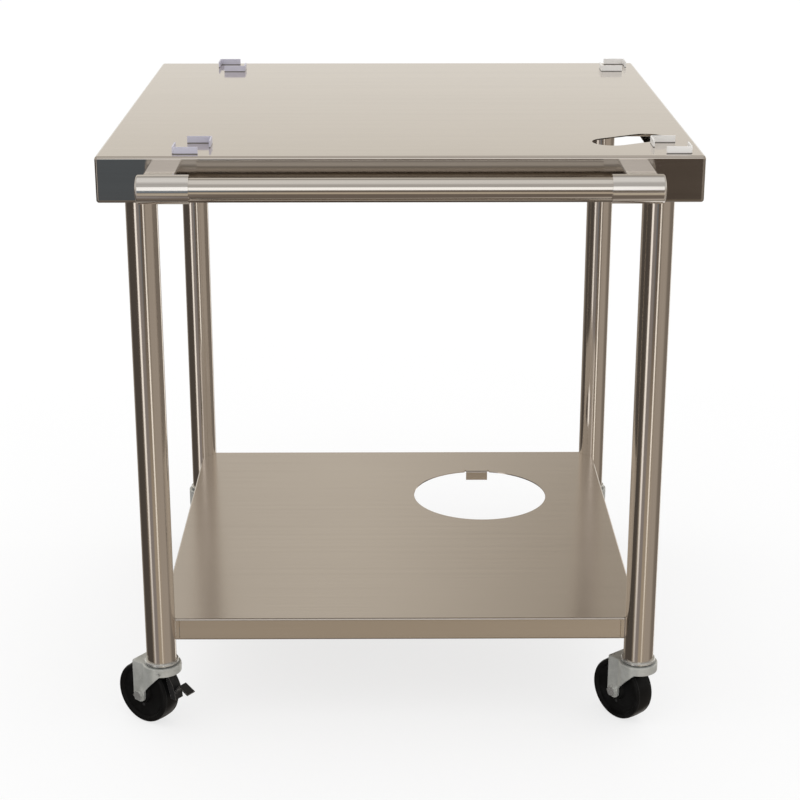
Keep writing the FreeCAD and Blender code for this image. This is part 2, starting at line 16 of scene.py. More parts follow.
import bpy
import numpy as np
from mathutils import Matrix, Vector


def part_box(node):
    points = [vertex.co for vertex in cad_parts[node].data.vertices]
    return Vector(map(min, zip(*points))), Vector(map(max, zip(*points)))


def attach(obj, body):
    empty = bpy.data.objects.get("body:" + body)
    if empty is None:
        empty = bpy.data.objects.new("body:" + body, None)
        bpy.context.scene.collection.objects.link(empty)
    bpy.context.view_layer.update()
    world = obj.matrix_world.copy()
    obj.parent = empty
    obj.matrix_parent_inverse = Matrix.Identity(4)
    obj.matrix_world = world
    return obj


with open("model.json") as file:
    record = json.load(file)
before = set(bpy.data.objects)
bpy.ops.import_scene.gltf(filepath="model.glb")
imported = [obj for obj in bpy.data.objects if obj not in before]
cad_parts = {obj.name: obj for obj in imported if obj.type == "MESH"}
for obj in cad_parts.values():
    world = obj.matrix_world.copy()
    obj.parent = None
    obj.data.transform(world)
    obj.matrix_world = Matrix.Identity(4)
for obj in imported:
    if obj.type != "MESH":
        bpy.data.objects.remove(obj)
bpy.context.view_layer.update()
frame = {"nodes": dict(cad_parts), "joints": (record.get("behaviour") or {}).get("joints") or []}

nodes = frame["nodes"]
corners = ("front_left", "front_right", "rear_left", "rear_right")
mm = 0.001

# %% [markdown]
# ## The camera
# The cart is seen from the handle side, from a little above the height of its top, through a
# long lens. A long lens could also be had by cropping a wide one, but distance and focal length
# together set how much narrower the far edge looks than the near one, so both are set here.

# %% Place the camera
eye = Vector((-0.0067, -2.6658, 1.2828))
look_down = math.radians(18.744)
look_right = math.radians(0.358)
lens_mm = 85.0

camera_data = bpy.data.cameras.new("camera")
camera_data.lens = lens_mm
camera_data.sensor_width = 36.0
camera_data.dof.use_dof = False
camera = bpy.data.objects.new("camera", camera_data)
camera.location = eye
camera.rotation_euler = (math.pi / 2 - look_down, 0.0, -look_right)
bpy.context.scene.collection.objects.link(camera)
bpy.context.scene.camera = camera
bpy.context.scene.view_settings.view_transform = "Standard"

# %% [markdown]
# ## Surfaces from arrays
# Every new piece is a grid of points: one parameter runs along the rows and one along the
# columns, and the whole grid is worked out at once. A mesh could be grown vertex by vertex in a
# loop, but an array formula is shorter, faster, and says what the shape is.

# %% A mesh from a grid of points


def surface(name, points, close_rows=False, close_columns=False):
    """Join a grid of points, shaped copies x rows x columns x 3, into quads.

    Each quad takes a point, its neighbour in the row, and the two below them; a closed grid's
    last row or column is followed by its first again.
    """
    grid = np.asarray(points, float)
    if grid.ndim == 3:
        grid = grid[None]
    copies, rows, columns = grid.shape[:3]
    index = np.arange(copies * rows * columns).reshape(copies, rows, columns)
    if close_rows:
        index = np.concatenate([index, index[:, :1]], axis=1)
    if close_columns:
        index = np.concatenate([index, index[:, :, :1]], axis=2)
    here = index[:, :-1, :-1]
    beside = index[:, :-1, 1:]
    below = index[:, 1:, :-1]
    opposite = index[:, 1:, 1:]
    quads = np.stack([here, beside, opposite, below], axis=-1).reshape(-1, 4)
    mesh = bpy.data.meshes.new(name)
    mesh.vertices.add(copies * rows * columns)
    mesh.vertices.foreach_set("co", grid.reshape(-1).astype(np.float32))
    mesh.loops.add(quads.size)
    mesh.loops.foreach_set("vertex_index", quads.reshape(-1).astype(np.int32))
    mesh.polygons.add(len(quads))
    mesh.polygons.foreach_set("loop_start", (np.arange(len(quads)) * 4).astype(np.int32))
    mesh.polygons.foreach_set("use_smooth", np.ones(len(quads), dtype=bool))
    mesh.update(calc_edges=True)
    mesh.validate()
    made = bpy.data.objects.new(name, mesh)
    bpy.context.scene.collection.objects.link(made)
    return made


# %% [markdown]
# ## Shader sums written as sums
# A finish is a few noises added and scaled. Math nodes could be placed and linked one at a time,
# but then the formula disappears among the links. The small class below stands for a socket, so
# `0.3 + 0.1 * grain` adds the two Math nodes it needs, and one method adds any other node.

# %% A socket that does arithmetic


class Signal:
    """A shader socket that is added, subtracted and multiplied as a number is."""

    def __init__(self, tree, socket=None):
        self.tree = tree
        self.socket = socket

    def node(self, kind, settings=None, sockets=None, output=0):
        """Add a node of a kind: its settings first, then the values or links of its sockets."""
        made = self.tree.nodes.new(kind)
        for name, value in (settings or {}).items():
            setattr(made, name, value)
        for name, value in (sockets or {}).items():
            if isinstance(value, Signal):
                self.tree.links.new(value.socket, made.inputs[name])
            else:
                made.inputs[name].default_value = value
        return Signal(self.tree, made.outputs[output] if made.outputs else None)

    def maths(self, operation, first, second):
        return self.node("ShaderNodeMath", {"operation": operation}, {0: first, 1: second})

    def __add__(self, other):
        return self.maths("ADD", self, other)

    def __sub__(self, other):
        return self.maths("SUBTRACT", self, other)

    def __rsub__(self, other):
        return self.maths("SUBTRACT", other, self)

    def __mul__(self, other):
        return self.maths("MULTIPLY", self, other)

    __radd__ = __add__
    __rmul__ = __mul__

    def between(self, low, high):
        """Rise smoothly from 0 at low to 1 at high."""
        settings = {"interpolation_type": "SMOOTHSTEP"}
        sockets = {"Value": self, "From Min": low, "From Max": high}
        return self.node("ShaderNodeMapRange", settings, sockets)

    def dot(self, other):
        """The dot product with another direction: 1 where the two agree, 0 where they cross."""
        settings = {"operation": "DOT_PRODUCT"}
        return self.node("ShaderNodeVectorMath", settings, {0: self, 1: other}, output="Value")

    def part(self, axis):
        """This place's or direction's part along X, Y or Z."""
        return self.node("ShaderNodeSeparateXYZ", None, {"Vector": self}, output=axis)

    def blend(self, dark, light):
        """A colour that goes from dark to light as this signal goes from 0 to 1."""
        settings = {"data_type": "RGBA"}
        return self.node("ShaderNodeMix", settings, {0: self, 6: dark, 7: light}, output=2)

    def noise(self, stretch, detail):
        """Noise on these coordinates, with so many ups and downs a metre along x, y and z."""
        placed = self.node("ShaderNodeMapping", None, {"Vector": self, "Scale": stretch})
        sockets = {"Vector": placed, "Scale": 1.0, "Detail": detail, "Roughness": noise_roughness}
        return self.node("ShaderNodeTexNoise", None, sockets)


noise_roughness = 0.55
print("a socket can", [name for name in vars(Signal) if not name.startswith("_")])

# %% [markdown]
# ## The floor and the studio
# Polished metal has almost no colour of its own: it shows the room. The cart was lit in a warm
# brown room with a pale ceiling, a key light round the camera, two narrow upright lights in
# front that draw the pair of bright streaks down every leg, and a pale wall behind that the top
# mirrors. Real panels could be stood round the cart, but they would block other
# views, so the room is drawn by direction in the world and only mirror rays see it. Everything
# else sees plain white, which gives the pale floor its soft even light. The floor also glows a
# little of its own, as a photographer's light table does, which keeps the shadows faint.

# %% Pale floor
floor_half = 16.0
floor_lines = 9
floor_grey_dark = (0.27, 0.27, 0.27, 1.0)
floor_grey_light = (0.29, 0.29, 0.29, 1.0)
floor_glow = 0.73

floor_spacing = np.linspace(-floor_half, floor_half, floor_lines)
floor_y, floor_x = np.meshgrid(floor_spacing, floor_spacing, indexing="ij")
floor = surface("floor", np.stack([floor_x, floor_y, np.zeros_like(floor_x)], axis=-1))
floor.visible_glossy = False

floor_material = bpy.data.materials.new("pale_floor")
floor_material.use_nodes = True
floor_material.node_tree.nodes.clear()
paint = Signal(floor_material.node_tree)
floor_place = paint.node("ShaderNodeTexCoord", output="Object")
floor_mottle = floor_place.noise((1.5, 1.5, 1.5), detail=3.0)
floor_sockets = {
    "Base Color": floor_mottle.blend(floor_grey_dark, floor_grey_light),
    "Roughness": 0.9,
    "Specular IOR Level": 0.0,
    "Emission Color": (1.0, 1.0, 1.0, 1.0),
    "Emission Strength": floor_glow,
}
floor_shader = paint.node("ShaderNodeBsdfPrincipled", None, floor_sockets)
paint.node("ShaderNodeOutputMaterial", None, {"Surface": floor_shader})
floor.data.materials.append(floor_material)
print("floor", floor_half * 2, "m wide")

# %% [markdown]
# Each light of the room is a patch of the sky: a direction round the cart, measured from the
# camera side towards the right, a half width, and the heights between which it shines. A
# painted panorama could hold the same, but a list of patches can be read and moved.

# %% The room that the metal mirrors
world = bpy.data.worlds.new("studio")
world.use_nodes = True
world.node_tree.nodes.clear()
bpy.context.scene.world = world
sky = Signal(world.node_tree)
direction = sky.node("ShaderNodeTexCoord", output="Generated")
without_height = (1.0, 1.0, 0.0)
level = sky.node("ShaderNodeVectorMath", {"operation": "MULTIPLY"}, {0: direction, 1: without_height})
level = sky.node("ShaderNodeVectorMath", {"operation": "NORMALIZE"}, {0: level})
height = direction.part("Z")

room_shade = (0.140, 0.113, 0.092, 1.0)
room_lights = (
    # name, direction, half width, low, high, soft sides, soft ends (all in degrees), colour
    ("floor_front", 0, 60, -38, -19, 4, 4, (0.417, 0.355, 0.275, 1.0)),
    ("left_dark", -105, 50, -90, 60, 14, 14, (0.085, 0.074, 0.064, 1.0)),
    ("left_low", -28, 17, -60, 8, 3, 3, (0.275, 0.248, 0.236, 1.0)),
    ("left_cool", -9, 4, -15, 8, 2, 3, (0.150, 0.174, 0.196, 1.0)),
    ("right_wall", 74, 46, -90, 60, 10, 10, (0.400, 0.352, 0.300, 1.0)),
    ("left_wall", -165, 30, -90, 50, 12, 12, (0.300, 0.265, 0.225, 1.0)),
    ("right_far", 116, 26, -90, 2, 14, 4, (0.220, 0.190, 0.160, 1.0)),
    ("low_walls", 180, 110, -2, 12, 15, 4, (0.420, 0.390, 0.350, 1.0)),
    ("side_walls", 0, 180, 7, 38, 0, 5, (0.500, 0.465, 0.415, 1.0)),
    ("back_high", 180, 100, 32, 64, 8, 8, (0.310, 0.290, 0.265, 1.0)),
    ("front_high", 0, 85, 24, 64, 8, 6, (0.390, 0.372, 0.350, 1.0)),
    ("back_wall", 180, 72, 0, 34, 9, 9, (0.600, 0.557, 0.487, 1.0)),
    ("back_right", 165, 10, 17, 40, 7, 7, (0.360, 0.320, 0.265, 1.0)),
    ("back_left", -168, 7, 17, 40, 5, 5, (0.530, 0.490, 0.430, 1.0)),
    ("back_glow", 180, 80, -6, 11, 6, 6, (0.860, 0.835, 0.785, 1.0)),
    ("ceiling", 0, 180, 64, 100, 10, 10, (0.620, 0.600, 0.570, 1.0)),
    ("left_strip", -42, 6, -25, 6, 3, 8, (1.250, 1.205, 1.140, 1.0)),
    ("middle_strip", 16.5, 4.0, -25, -9, 1.5, 8, (1.300, 1.240, 1.140, 1.0)),
    ("rear_strip", 150, 7, -75, 14, 4, 4, (1.150, 1.100, 1.020, 1.0)),
    ("key", 0, 10, 2, 30, 3, 3, (0.990, 0.975, 0.950, 1.0)),
)


def shine_patch(azimuth, half_width, low, high, soft, fade):
    """How strongly a patch shines: 1 inside it, falling to 0 across its soft sides and ends.

    The sides are steps in the cosine of the angle from the patch's heading, and the ends are
    steps in the sine of the height. A patch all the way round has no sides, and one that goes
    straight down or up has no end there.
    """
    steps = []
    if half_width < 180:
        turn = math.radians(azimuth)
        heading = (math.sin(turn), -math.cos(turn), 0.0)
        rim_out = math.cos(math.radians(half_width + soft))
        rim_in = math.cos(math.radians(half_width - soft))
        steps.append(level.dot(heading).between(rim_out, rim_in))
    if low > -90:
        fade_from = math.sin(math.radians(low - fade))
        fade_to = math.sin(math.radians(low + fade))
        steps.append(height.between(fade_from, fade_to))
    if high < 90:
        fade_from = math.sin(math.radians(high - fade))
        fade_to = math.sin(math.radians(high + fade))
        steps.append(1.0 - height.between(fade_from, fade_to))
    return reduce(mul, steps)


mirrored = room_shade
for name, azimuth, half_width, low, high, soft, fade, glow in room_lights:
    mirrored = shine_patch(azimuth, half_width, low, high, soft, fade).blend(mirrored, glow)
    mirrored.socket.node.label = name
mirror_ray = sky.node("ShaderNodeLightPath", output="Is Glossy Ray")
plain_white = (1.0, 1.0, 1.0, 1.0)
seen = mirror_ray.blend(plain_white, mirrored)
background = sky.node("ShaderNodeBackground", None, {"Color": seen, "Strength": 1.0})
sky.node("ShaderNodeOutputWorld", None, {"Surface": background})
print("studio with", len(room_lights), "lights")

# %% [markdown]
# ## Brushed and polished steel
# Sheet steel is rubbed with a belt, which leaves long hair-fine scratches one way. They make the
# mirror slightly rough and slightly uneven, so the finish is noise stretched along the scratch:
# fine noise for single hairs and coarse noise for the belt's wider bands. A picture of brushed
# steel could be wrapped on, but stretched noise has no seams and no size limit. On the top, the
# flanges below the fold get a darker copy of the steel's colour, a painted shade that dims what
# they mirror.

# %% Finishes of the steel


def new_finish(name):
    material = bpy.data.materials.new(name)
    material.use_nodes = True
    material.node_tree.nodes.clear()
    return material, Signal(material.node_tree)


def shade(paint, **sockets):
    """Close a finish: a principled shader with these sockets, to the material's surface."""
    named = {key.replace("_", " ").title(): value for key, value in sockets.items()}
    named = {key.replace("Ior", "IOR"): value for key, value in named.items()}
    shader = paint.node("ShaderNodeBsdfPrincipled", None, named)
    paint.node("ShaderNodeOutputMaterial", None, {"Surface": shader})


def bumps(height, depth):
    """A bump of this depth in metres at half strength."""
    return height.node("ShaderNodeBump", None, {"Height": height, "Distance": depth, "Strength": 0.5})


def steel(name, grain, dark, light, rough, uneven, shade_below=None):
    """Rubbed steel: grain gives the ups and downs a metre along x, y and z of its scratches.

    The last argument is a height and a share: below that height the colour is scaled by that share, a
    painted shade.
    """
    material, paint = new_finish(name)
    place = paint.node("ShaderNodeTexCoord", output="Object")
    hairs = place.noise(grain, detail=4.0)
    bands = place.noise([value / hairs_in_band for value in grain], detail=2.0)
    clouds = place.noise((6.0, 6.0, 6.0), detail=3.0)
    tone = (hair_share * hairs + band_share * bands + cloud_share * clouds).between(0.25, 0.75)
    metal = tone.blend(dark, light)
    # Painted shade: below the given height the colour is a darker copy of the steel, scaled by the
    # share.
    if shade_below:
        edge, share = shade_below
        unshaded = place.part("Z").between(edge - flange_shade_fade, edge + flange_shade_fade)
        shaded_flange_dark = [value * share for value in dark[:3]] + [1.0]
        shaded_flange_light = [value * share for value in light[:3]] + [1.0]
        metal = unshaded.blend(tone.blend(shaded_flange_dark, shaded_flange_light), metal)
    shade(
        paint,
        base_color=metal,
        metallic=1.0,
        roughness=rough + uneven * (hairs - 0.5) + 0.5 * uneven * (clouds - 0.5),
        normal=bumps(hairs, scratch_depth),
    )
    return material


hair_share = 0.45
band_share = 0.35
cloud_share = 0.2
hairs_in_band = 9
scratch_depth = 0.02 * mm
flange_shade_fade = 0.4 * mm
along_x = (5.0, 900.0, 900.0)
along_z = (900.0, 900.0, 5.0)
steel_dark = (0.685, 0.632, 0.580, 1.0)
steel_light = (0.750, 0.693, 0.636, 1.0)
# Painted light: the bar's steel is a brighter copy of the sheet steel, so its highlight reads white
# under the dimmer key.
painted_lit_bar_dark = (0.86, 0.82, 0.775, 1.0)
painted_lit_bar_light = (0.94, 0.90, 0.855, 1.0)
# Painted light: the castings' steel is a near-white copy of the sheet steel, so the post tops and
# sleeve highlights read white.
painted_lit_cast_dark = (0.92, 0.89, 0.86, 1.0)
painted_lit_cast_light = (1.0, 0.98, 0.96, 1.0)

deck_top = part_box("deck_panel")[1][2]
fold_height = 4 * mm
# Painted shade: below the fold the deck's colour is scaled down by this share.
flange_shade_share = 0.62
flange = (deck_top - fold_height, flange_shade_share)
deck_steel = steel("brushed_deck", along_x, steel_dark, steel_light, 0.075, 0.04, shade_below=flange)
sheet_steel = steel("brushed_sheet", along_x, steel_dark, steel_light, 0.18, 0.06)
tube_steel = steel("polished_tube", along_z, steel_dark, steel_light, 0.12, 0.05)
bar_steel = steel("polished_bar", along_x, painted_lit_bar_dark, painted_lit_bar_light, 0.085, 0.04)
cast_steel = steel("brushed_casting", along_x, painted_lit_cast_dark, painted_lit_cast_light, 0.12, 0.05)
print("steel finishes", len(bpy.data.materials) - 1)

# %% [markdown]
# The foot clips are bent from bright strip that still wears its pale protective film, so they
# look nearly white. Their colour also holds painted light: grey-lavender and darker towards the
# cool left side of the room, nearly white on the right. Plain polished steel would mirror the
# dark floor in front of the cart, but the film scatters light as paper does, so each upright
# face takes the soft white of the studio. A thin band of painted shade darkens the foot of each
# clip along the deck.

# %% Finish of the foot clips


def film(name, left, right, half_span, foot):
    """Pale film whose colour goes from left to right across the cart, half_span each way: the film's
    own pale colour with painted light, cooler and darker on the left.

    Below the height of the foot the colour is a dark painted shade.
    """
    material, paint = new_finish(name)
    place = paint.node("ShaderNodeTexCoord", output="Object")
    creases = place.noise((60.0, 60.0, 240.0), detail=3.0)
    # Painted light: the colour goes from a darker grey-lavender on the left to near white on the
    # right.
    cast = place.part("X").between(-half_span, half_span).blend(left, right)
    # Painted shade: below the foot's height the colour turns dark, a thin line along the deck.
    above_foot_shade = place.part("Z").between(foot - foot_shade_fade, foot + foot_shade_fade)
    shade(
        paint,
        base_color=above_foot_shade.blend(foot_painted_shade, cast),
        metallic=0.1,
        roughness=0.34 + 0.16 * (creases - 0.5),
        normal=bumps(creases, crease_depth),
    )
    return material


foot_shade_fade = 0.3 * mm
crease_depth = 0.2 * mm
# The colour of the painted shade at each clip's foot.
foot_painted_shade = (0.20, 0.19, 0.18, 1.0)
# Painted light: the left colour stands for the cool dim side of the room, the right for the bright
# side.
clip_left_painted_light = (0.66, 0.645, 0.75, 1.0)
clip_right_painted_light = (0.97, 0.955, 0.93, 1.0)
clip_span = 200 * mm
foot_shade_top = deck_top + 0.9 * mm
clip_steel = film("filmed_clip", clip_left_painted_light, clip_right_painted_light, clip_span, foot_shade_top)
print("clip finish", clip_steel.name)

# %% [markdown]
# ## Zinc, balls and rubber
# Forks, nuts and bolts are plated with zinc, which is duller and greyer than stainless and dries
# in soft cloudy patches. Clouds of noise at two scales carry the tone and the roughness.

# %% Finishes of the casters' metal and rubber


def zinc(name, dark, light, rough, mirror):
    """Plated metal: mirror is its share of metal, from 0 to 1."""
    material, paint = new_finish(name)
    place = paint.node("ShaderNodeTexCoord", output="Object")
    clouds = place.noise((70.0, 70.0, 70.0), detail=4.0)
    grains = place.noise((900.0, 900.0, 900.0), detail=2.0)
    tone = 0.6 * clouds + 0.4 * grains
    shade(
        paint,
        base_color=tone.between(0.3, 0.7).blend(dark, light),
        metallic=mirror,
        roughness=rough + 0.2 * (clouds - 0.5) + 0.1 * (grains - 0.5),
        normal=bumps(grains, grain_depth),
    )
    return material


grain_depth = 0.02 * mm
zinc_plate = zinc("zinc_plate", (0.50, 0.51, 0.48, 1.0), (0.68, 0.69, 0.66, 1.0), 0.40, 0.6)
zinc_bright = zinc("zinc_fastener", (0.66, 0.67, 0.66, 1.0), (0.84, 0.85, 0.84, 1.0), 0.24, 0.85)
ball_steel = zinc("ball_steel", (0.70, 0.70, 0.70, 1.0), (0.80, 0.80, 0.80, 1.0), 0.10, 1.0)


def moulded(name, dark, light, rough):
    """Moulded rubber or plastic: a fine leathery skin with slightly worn, dusty patches."""
    material, paint = new_finish(name)
    place = paint.node("ShaderNodeTexCoord", output="Object")
    skin = place.noise((2500.0, 2500.0, 2500.0), detail=2.0)
    dust = place.noise((45.0, 45.0, 45.0), detail=5.0)
    shade(
        paint,
        base_color=dust.between(0.35, 0.8).blend(dark, light),
        roughness=rough + 0.18 * (dust - 0.5) + 0.08 * (skin - 0.5),
        specular_ior_level=0.15,
        normal=bumps(skin, skin_depth),
    )
    return material


def worn_paint(name, paint_colour, bare, edge_radius):
    """Black paint rubbed to bare metal where an edge is sharp.

    The wear is one minus the dot product of the face's direction with the direction that it
    would have if the edges near it were rounded, broken up by noise.
    """
    material, paint = new_finish(name)
    place = paint.node("ShaderNodeTexCoord", output="Object")
    facing = paint.node("ShaderNodeNewGeometry", output="Normal")
    eased = paint.node("ShaderNodeBevel", {"samples": 6}, {"Radius": edge_radius})
    alike = facing.dot(eased)
    speckle = place.noise((350.0, 350.0, 350.0), detail=4.0)
    orange_peel = place.noise((1400.0, 1400.0, 1400.0), detail=1.0)
    worn = (1.12 - alike - 0.24 * speckle).between(0.03, 0.10)
    shade(
        paint,
        base_color=worn.blend(paint_colour, bare),
        metallic=0.9 * worn,
        roughness=0.44 + 0.12 * (speckle - 0.5) - 0.1 * worn,
        specular_ior_level=0.3,
        normal=bumps(orange_peel, peel_depth),
    )
    return material


skin_depth = 0.04 * mm
peel_depth = 0.05 * mm
worn_edge = 0.6 * mm
wheel_black = moulded("black_wheel", (0.0035, 0.0035, 0.0035, 1.0), (0.008, 0.008, 0.008, 1.0), 0.36)
flash_grey = moulded("moulding_flash", (0.020, 0.020, 0.020, 1.0), (0.040, 0.040, 0.039, 1.0), 0.5)
rubber_black = moulded("grip_rubber", (0.012, 0.012, 0.012, 1.0), (0.022, 0.021, 0.02, 1.0), 0.62)
brake_black = worn_paint("black_brake", (0.016, 0.016, 0.016, 1.0), (0.52, 0.51, 0.50, 1.0), worn_edge)
print("finishes in all", len(bpy.data.materials) - 1)

# %% [markdown]
# ## Give each piece its finish
# Each construction piece keeps its mesh and only gets a material, chosen by the word in its name.

# %% Dress the construction
finish_words = (
    ("deck_panel", deck_steel),
    ("deck_channel", sheet_steel),
    ("shelf_panel", sheet_steel),
    ("leg_sockets", zinc_bright),
    ("leg_", tube_steel),
    ("foot_clips", clip_steel),
    ("handle_bar", bar_steel),
    ("handle_end", cast_steel),
    ("_fork", zinc_plate),
    ("_stem", zinc_bright),
    ("_wheel", wheel_black),
    ("_brake_lever", brake_black),
    ("_expander", rubber_black),
    ("_balls", ball_steel),
    ("", zinc_bright),
)
for name, piece in nodes.items():
    finish = next(material for word, material in finish_words if word in name)
    piece.data.materials.clear()
    piece.data.materials.append(finish)
print("dressed", len(nodes), "pieces")

# %% [markdown]
# ## Moulding lines and gate marks on the wheels
# A wheel like this is moulded in two halves with the axle upright. Where the mould's rings meet
# the tread they leave a thin bead, and where the rubber was let in they leave a small pip on
# each face. A line could be painted on, but a raised bead catches the light as the real one
# does and turns with the wheel, so both are shapes that ride the wheel.

# %% Beads and pips on each wheel


def full_turn(count):
    """So many angles, evenly spaced once round; the last is followed by the first again."""
    return np.linspace(0, 2 * np.pi, count, endpoint=False)


def bead_rings(centre, axis, across, radius, offsets, thick):
    """Thin rings round an axis.

    A point is the centre, plus the axis times the ring's offset, plus a circle of the ring's
    radius, plus a small circle of the bead's thickness in the plane of the axis and the radius.
    """
    offsets = np.asarray(offsets)[:, None, None, None]
    turn = full_turn(180)[None, :, None, None]
    section = full_turn(8)[None, None, :, None]
    upright = np.cross(axis, across)
    radial = np.cos(turn) * across + np.sin(turn) * upright
    along = offsets + thick * np.sin(section)
    out = radius + thick * np.cos(section)
    return centre + axis * along + radial * out


def pips(spots, outwards, across, radius, height):
    """Round pips: height falls from the middle as one minus the square of the way out."""
    way_out = np.linspace(0, 1, 7)[None, :, None, None]
    turn = full_turn(24)[None, None, :, None]
    upright = np.cross(outwards, across)[:, None, None, :]
    flat = np.cos(turn) * across + np.sin(turn) * upright
    rise = height * (1 - way_out**2) * outwards[:, None, None, :]
    return spots[:, None, None, :] + radius * way_out * flat + rise


joints = {joint["name"]: joint for joint in frame["joints"]}
upwards = np.array((0.0, 0.0, 1.0))
bead_radius = 43.6 * mm
bead_offset = 11.05 * mm
bead_thick = 0.34 * mm
web_offset = 12.0 * mm
pip_drop = 18.5 * mm
pip_radius = 2.3 * mm
pip_height = 0.7 * mm

for corner in corners:
    spin = joints["spin_" + corner]
    centre = np.array(spin["pos_m"])
    axis = np.array(spin["axis"])
    across = np.cross(axis, upwards)
    rings = bead_rings(centre, axis, across, bead_radius, [-bead_offset, bead_offset], bead_thick)
    lines = surface("moulding_lines_" + corner, rings, close_rows=True, close_columns=True)
    faces = np.stack([-axis, axis])
    spots = centre - pip_drop * upwards + web_offset * faces
    domes = pips(spots, faces, across, pip_radius, pip_height)
    marks = surface("gate_marks_" + corner, domes, close_columns=True)
    for piece in (lines, marks):
        piece.data.materials.append(flash_grey)
        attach(piece, "wheel_" + corner)
    bead_faces = len(lines.data.polygons)
    print("wheel", corner, bead_faces, "bead faces,", len(marks.data.polygons), "pip faces")

# %% [markdown]
# ## Webs of the forks
# The fork is pressed from one sheet, and the press leaves a slanting web between the round skirt
# and each leg, so the leg seems to grow out of the crown. A flat gusset could be laid across the
# corner, but the skirt is round there, so the web is a patch of the same cylinder: thick as the
# sheet, its lower edge slanting from the axle up to the skirt.

# %% A web on both sides of each fork


def fork_webs(centre, back, sides, reach, low, high, radii):
    """Curved plates on a cylinder round the swivel axis.

    Reach is how far each column lies behind the axis. A point is the centre, plus back times the
    reach, plus the side times the root of radius squared less reach squared, plus its height.
    The four rows go round the plate: outside low, outside high, inside high, inside low. On the
    other side they go round the other way, and a last column at each end closes to a point.
    """
    rise = np.stack([low, high, high, low])[None, :, :, None]
    radius = np.array([radii[0], radii[0], radii[1], radii[1]])[:, None]
    out = np.sqrt(radius**2 - reach**2)[None, :, :, None]
    ahead = reach[None, None, :, None] * back
    grid = centre + ahead + out * sides[:, None, None, :] + rise * upwards
    grid[1] = grid[1, ::-1]
    ends = grid.mean(axis=1, keepdims=True) + 0 * grid
    return np.concatenate([ends[:, :, :1], grid, ends[:, :, -1:]], axis=2)


crown_radius = 27.0 * mm
fork_sheet = 2.5 * mm
fork_skirt = 12.0 * mm
fork_arch = 28.0 * mm
leg_half_width = 10.5 * mm
web_front = -14.3 * mm
web_over_axle = 7.0 * mm
web_columns = 40
web_overlap = 0.7 * mm
web_crease = math.radians(35)
buried = 1.5 * mm
proud = 0.04 * mm
level_part = (1.0, 1.0, 0.0)

for corner in corners:
    pivot = np.array(joints["swivel_" + corner]["pos_m"]) * level_part
    axle = np.array(joints["spin_" + corner]["pos_m"])
    back = (axle - pivot) * level_part
    trail = np.linalg.norm(back)
    back = back / trail
    side = np.cross(upwards, back)
    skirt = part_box("caster_" + corner + "_fork")[1][2] - fork_skirt
    leg_front = trail - leg_half_width
    web_foot = axle[2] + web_over_axle
    reach = np.linspace(leg_front + web_overlap, web_front, web_columns)
    slant = np.clip((leg_front - reach) / (leg_front - web_front), 0, 1)
    low = web_foot + slant * (skirt - web_foot)
    from_arch = np.clip(reach - leg_front + fork_arch, 0, fork_arch)
    high = skirt - fork_arch + np.sqrt(fork_arch**2 - from_arch**2) + buried
    radii = (crown_radius + proud, crown_radius - fork_sheet - proud)
    plates = fork_webs(pivot, back, np.stack([side, -side]), reach, low, high, radii)
    webs = surface("fork_webs_" + corner, plates, close_rows=True)
    webs.data.set_sharp_from_angle(angle=web_crease)
    webs.data.materials.append(zinc_plate)
    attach(webs, "swivel_" + corner)
    print("webs", corner, len(webs.data.polygons), "faces")

# %% [markdown]
# ## Weld beads under the shelf
# The shelf is scribed round each leg and welded from below, where no one sees it. A weld is laid
# as a row of small overlapping puddles, so the bead is a bent tube that swells and shrinks along
# its path. It could be cut from the leg and the sheet as a fillet, but the ripples are what make
# it read as a weld.

# %% A rippled bead at each leg


def weld_arcs(centres, headings, radius, sweep, thick, pitch):
    """Arcs of weld round upright tubes.

    A point is a tube's centre plus a circle of the path's radius, swept a little each side of
    the heading, plus a small circle whose radius ripples as a cosine of the length along the
    path and closes to nothing at the two ends as the root of one minus a high power.
    """
    way = np.linspace(-1, 1, 140)[None, :, None]
    section = full_turn(12)[None, None, :]
    turn = headings[:, None, None] + sweep * way
    ripple = 1 + 0.11 * np.cos(2 * np.pi * radius * sweep * way / pitch)
    swell = thick * ripple * np.sqrt(1 - way**8)
    out = radius + swell * np.cos(section)
    x = centres[:, 0, None, None] + out * np.cos(turn)
    y = centres[:, 1, None, None] + out * np.sin(turn)
    z = centres[:, 2, None, None] + swell * np.sin(section) + 0 * turn
    return np.stack(np.broadcast_arrays(x, y, z), axis=-1)


shelf_low, shelf_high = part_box("shelf_panel")
sheet_thick = 1.5 * mm
weld_thick = 2.4 * mm
weld_pitch = 2.1 * mm
weld_sweep = math.radians(38)
boxes = np.array([[list(end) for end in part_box("leg_" + corner)] for corner in corners])
leg_middles = boxes.mean(axis=1)
leg_radius = (boxes[0, 1, 0] - boxes[0, 0, 0]) / 2
weld_sunk = 0.6 * weld_thick
leg_middles[:, 2] = shelf_high[2] - sheet_thick - weld_sunk
shelf_middle = (np.array(shelf_low) + np.array(shelf_high))[:2] / 2
inward = np.sign(shelf_middle - leg_middles[:, :2])
headings = np.arctan2(inward[:, 1], inward[:, 0])
weld_radius = leg_radius + weld_sunk
weld_grid = weld_arcs(leg_middles, headings, weld_radius, weld_sweep, weld_thick, weld_pitch)
welds = surface("shelf_welds", weld_grid, close_columns=True)
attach(welds, "cart")
print("welds", len(weld_grid), "arcs,", len(welds.data.polygons), "faces")

# %% [markdown]
# Beside each leg the shelf's flange is a separate corner tab, and the slit between the two is
# closed from behind by a straight run of the same weld. Without it the slit would let light
# through; with it the slit reads as the thin dark line it is on the real shelf.

# %% A straight bead behind each slit


